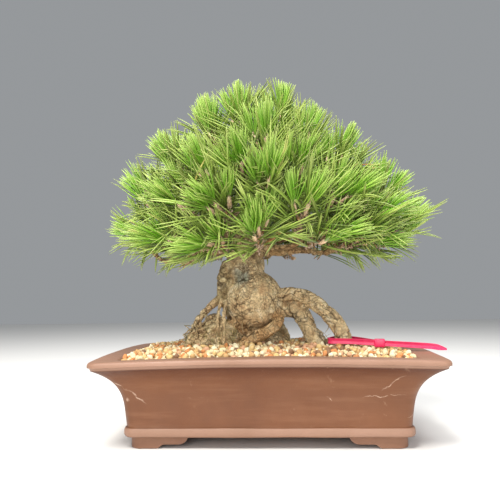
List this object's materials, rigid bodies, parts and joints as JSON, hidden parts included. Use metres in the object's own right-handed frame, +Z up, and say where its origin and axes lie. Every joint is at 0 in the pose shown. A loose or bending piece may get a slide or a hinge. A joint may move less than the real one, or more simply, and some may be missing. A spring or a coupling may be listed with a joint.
{
  "type": "bonsai tree in a pot",
  "caption": "Pine bonsai with a globe-shaped rooted base and a needled crown, in a rectangular unglazed stoneware pot with corner feet, gravel top dressing and a loop plant label.",
  "frame": {"origin": "middle of the pot's plan, at the height of the table under the feet", "axes": "+X along the pot's long side to the right as seen from the front, +Y from the front to the back, +Z up the trunk"},
  "size_m": [0.3513, 0.245, 0.3707],
  "materials": {
    "stoneware": "unglazed, fine grained, slight sheen",
    "pine_wood": "rough bark and root skin",
    "pine_needles": "waxy green needles",
    "gravel": "matt rounded grains",
    "potting_soil": "moist, granular",
    "mesh_plastic": "matt moulded mesh",
    "clip_wire": "drawn wire",
    "label_plastic": "satin moulded strip"
  },
  "bodies": {
    "root": {"pot": "stoneware", "drain_mesh_left": "mesh_plastic", "drain_mesh_right": "mesh_plastic", "mesh_clip_left": "clip_wire", "mesh_clip_right": "clip_wire", "soil": "potting_soil", "top_dressing": "gravel", "globe_and_roots": "pine_wood", "low_branches_left": "pine_wood", "low_branches_right": "pine_wood", "high_branches": "pine_wood", "plant_label": "label_plastic", "needle_tuft_01": "pine_needles", "needle_tuft_02": "pine_needles", "needle_tuft_03": "pine_needles", "needle_tuft_04": "pine_needles", "needle_tuft_05": "pine_needles", "needle_tuft_06": "pine_needles", "needle_tuft_07": "pine_needles", "needle_tuft_08": "pine_needles", "needle_tuft_09": "pine_needles", "needle_tuft_10": "pine_needles", "needle_tuft_11": "pine_needles", "needle_tuft_12": "pine_needles", "needle_tuft_13": "pine_needles", "needle_tuft_14": "pine_needles", "needle_tuft_15": "pine_needles", "needle_tuft_16": "pine_needles", "needle_tuft_17": "pine_needles", "needle_tuft_18": "pine_needles", "needle_tuft_19": "pine_needles", "needle_tuft_20": "pine_needles", "needle_tuft_21": "pine_needles", "needle_tuft_22": "pine_needles", "needle_tuft_23": "pine_needles", "needle_tuft_24": "pine_needles", "needle_tuft_25": "pine_needles", "needle_tuft_26": "pine_needles", "needle_tuft_27": "pine_needles", "needle_tuft_28": "pine_needles", "needle_tuft_29": "pine_needles", "needle_tuft_30": "pine_needles", "needle_tuft_31": "pine_needles", "needle_tuft_32": "pine_needles", "needle_tuft_33": "pine_needles", "needle_tuft_34": "pine_needles", "needle_tuft_35": "pine_needles", "needle_tuft_36": "pine_needles", "needle_tuft_37": "pine_needles", "needle_tuft_38": "pine_needles", "needle_tuft_39": "pine_needles", "needle_tuft_40": "pine_needles", "needle_tuft_41": "pine_needles", "needle_tuft_42": "pine_needles", "needle_tuft_43": "pine_needles", "needle_tuft_44": "pine_needles", "needle_tuft_45": "pine_needles"}
  },
  "joints": []
}
